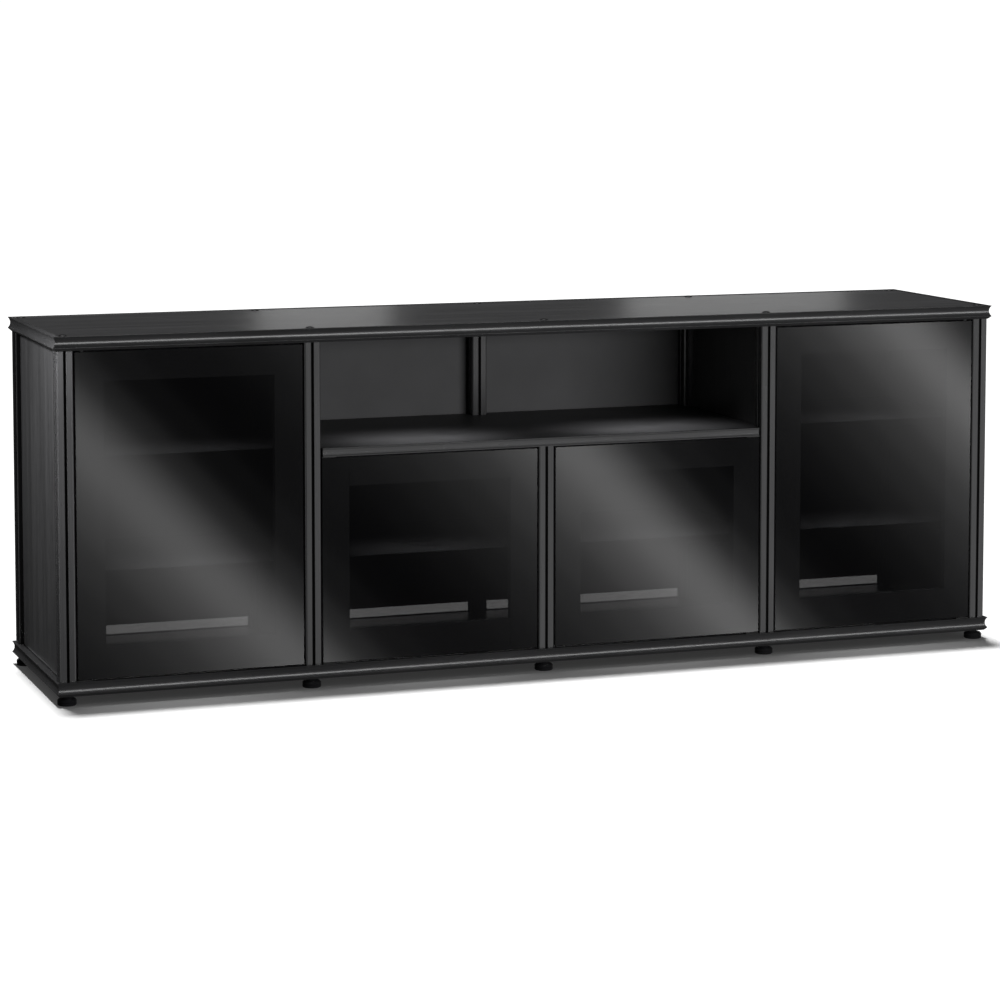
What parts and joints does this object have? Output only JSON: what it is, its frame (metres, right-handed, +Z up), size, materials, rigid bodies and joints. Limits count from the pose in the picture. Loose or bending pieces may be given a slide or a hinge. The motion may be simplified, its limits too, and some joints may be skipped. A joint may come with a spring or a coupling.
{
  "type": "media cabinet",
  "caption": "Low wide cabinet on a slotted post frame with glazed doors, adjustable shelves, an open centre compartment, rear cable slots and levelling feet.",
  "frame": {"origin": "on the floor, under the middle of the cabinet", "axes": "+X along the cabinet to its right seen from the doors, +Y from the doors to the back, +Z up"},
  "size_m": [2.17, 0.488, 0.7745],
  "materials": {
    "black_anodised": "satin black anodised extrusion",
    "black_oak": "black-stained open-grain oak veneer",
    "black_board": "hardboard, fine textured black face",
    "black_shelf": "black laminate, low sheen",
    "black_steel": "black oxide",
    "black_plastic": "moulded",
    "black_lacquer": "fibreboard, satin black lacquer",
    "smoked_glass": "smoked, tempered, polished edges"
  },
  "bodies": {
    "cabinet": {"top_panel": "black_oak", "bottom_panel": "black_oak", "top_front_rail": "black_anodised", "top_rear_rail": "black_anodised", "top_left_rail": "black_anodised", "top_right_rail": "black_anodised", "bottom_front_rail": "black_anodised", "bottom_rear_rail": "black_anodised", "bottom_left_rail": "black_anodised", "bottom_right_rail": "black_anodised", "front_post_1": "black_anodised", "front_post_2": "black_anodised", "front_post_3": "black_anodised", "front_post_4": "black_anodised", "front_post_5": "black_anodised", "rear_posts": "black_anodised", "left_side_panel": "black_oak", "right_side_panel": "black_oak", "left_divider": "black_oak", "right_divider": "black_oak", "back_panel_1": "black_board", "back_panel_2": "black_board", "back_panel_3": "black_board", "back_panel_4": "black_board", "back_panel_screws": "black_steel", "centre_shelf": "black_shelf", "centre_shelf_trim": "black_anodised", "centre_support_bar": "black_steel", "bay_1_lower_shelf": "black_shelf", "bay_1_upper_shelf": "black_shelf", "bay_2_shelf": "black_shelf", "bay_3_shelf": "black_shelf", "bay_4_lower_shelf": "black_shelf", "bay_4_upper_shelf": "black_shelf", "shelf_pins": "black_steel", "pivot_pins": "black_steel", "latch_housings": "black_plastic", "cap_bolts": "black_plastic"},
    "door_1": {"door_frame_1": "black_lacquer", "door_glass_1": "smoked_glass"},
    "door_2": {"door_frame_2": "black_lacquer", "door_glass_2": "smoked_glass"},
    "door_3": {"door_frame_3": "black_lacquer", "door_glass_3": "smoked_glass"},
    "door_4": {"door_frame_4": "black_lacquer", "door_glass_4": "smoked_glass"},
    "latch_1": {"latch_plunger_1": "black_plastic"},
    "latch_2": {"latch_plunger_2": "black_plastic"},
    "latch_3": {"latch_plunger_3": "black_plastic"},
    "latch_4": {"latch_plunger_4": "black_plastic"},
    "foot_1_body": {"foot_1": "black_plastic"},
    "foot_2_body": {"foot_2": "black_plastic"},
    "foot_3_body": {"foot_3": "black_plastic"},
    "foot_4_body": {"foot_4": "black_plastic"},
    "foot_5_body": {"foot_5": "black_plastic"},
    "foot_6_body": {"foot_6": "black_plastic"},
    "foot_7_body": {"foot_7": "black_plastic"},
    "foot_8_body": {"foot_8": "black_plastic"},
    "foot_9_body": {"foot_9": "black_plastic"},
    "foot_10_body": {"foot_10": "black_plastic"}
  },
  "joints": [
    {"name": "door_1_hinge", "type": "hinge", "parent": "cabinet", "child": "door_1", "pos_m": [-1.024, -0.228, 0.0535], "axis": [0, 0, -1], "range_deg": [0, 110]},
    {"name": "door_2_hinge", "type": "hinge", "parent": "cabinet", "child": "door_2", "pos_m": [-0.494, -0.228, 0.0535], "axis": [0, 0, -1], "range_deg": [0, 110]},
    {"name": "door_3_hinge", "type": "hinge", "parent": "cabinet", "child": "door_3", "pos_m": [0.494, -0.228, 0.0535], "axis": [0, 0, 1], "range_deg": [0, 110]},
    {"name": "door_4_hinge", "type": "hinge", "parent": "cabinet", "child": "door_4", "pos_m": [1.024, -0.228, 0.0535], "axis": [0, 0, 1], "range_deg": [0, 110]},
    {"name": "latch_1_press", "type": "slide", "parent": "cabinet", "child": "latch_1", "axis": [0, 1, 0], "range_m": [0, 0.004], "stiffness_N_per_m": 300, "springref_m": -0.004},
    {"name": "latch_2_press", "type": "slide", "parent": "cabinet", "child": "latch_2", "axis": [0, 1, 0], "range_m": [0, 0.004], "stiffness_N_per_m": 300, "springref_m": -0.004},
    {"name": "latch_3_press", "type": "slide", "parent": "cabinet", "child": "latch_3", "axis": [0, 1, 0], "range_m": [0, 0.004], "stiffness_N_per_m": 300, "springref_m": -0.004},
    {"name": "latch_4_press", "type": "slide", "parent": "cabinet", "child": "latch_4", "axis": [0, 1, 0], "range_m": [0, 0.004], "stiffness_N_per_m": 300, "springref_m": -0.004},
    {"name": "foot_1_screw", "type": "hinge", "parent": "cabinet", "child": "foot_1_body", "pos_m": [-1.06, -0.219, 0], "axis": [0, 0, 1], "continuous": true},
    {"name": "foot_2_screw", "type": "hinge", "parent": "cabinet", "child": "foot_2_body", "pos_m": [-0.53, -0.219, 0], "axis": [0, 0, 1], "continuous": true},
    {"name": "foot_3_screw", "type": "hinge", "parent": "cabinet", "child": "foot_3_body", "pos_m": [0, -0.219, 0], "axis": [0, 0, 1], "continuous": true},
    {"name": "foot_4_screw", "type": "hinge", "parent": "cabinet", "child": "foot_4_body", "pos_m": [0.53, -0.219, 0], "axis": [0, 0, 1], "continuous": true},
    {"name": "foot_5_screw", "type": "hinge", "parent": "cabinet", "child": "foot_5_body", "pos_m": [1.06, -0.219, 0], "axis": [0, 0, 1], "continuous": true},
    {"name": "foot_6_screw", "type": "hinge", "parent": "cabinet", "child": "foot_6_body", "pos_m": [-1.06, 0.219, 0], "axis": [0, 0, 1], "continuous": true},
    {"name": "foot_7_screw", "type": "hinge", "parent": "cabinet", "child": "foot_7_body", "pos_m": [-0.53, 0.219, 0], "axis": [0, 0, 1], "continuous": true},
    {"name": "foot_8_screw", "type": "hinge", "parent": "cabinet", "child": "foot_8_body", "pos_m": [0, 0.219, 0], "axis": [0, 0, 1], "continuous": true},
    {"name": "foot_9_screw", "type": "hinge", "parent": "cabinet", "child": "foot_9_body", "pos_m": [0.53, 0.219, 0], "axis": [0, 0, 1], "continuous": true},
    {"name": "foot_10_screw", "type": "hinge", "parent": "cabinet", "child": "foot_10_body", "pos_m": [1.06, 0.219, 0], "axis": [0, 0, 1], "continuous": true}
  ]
}
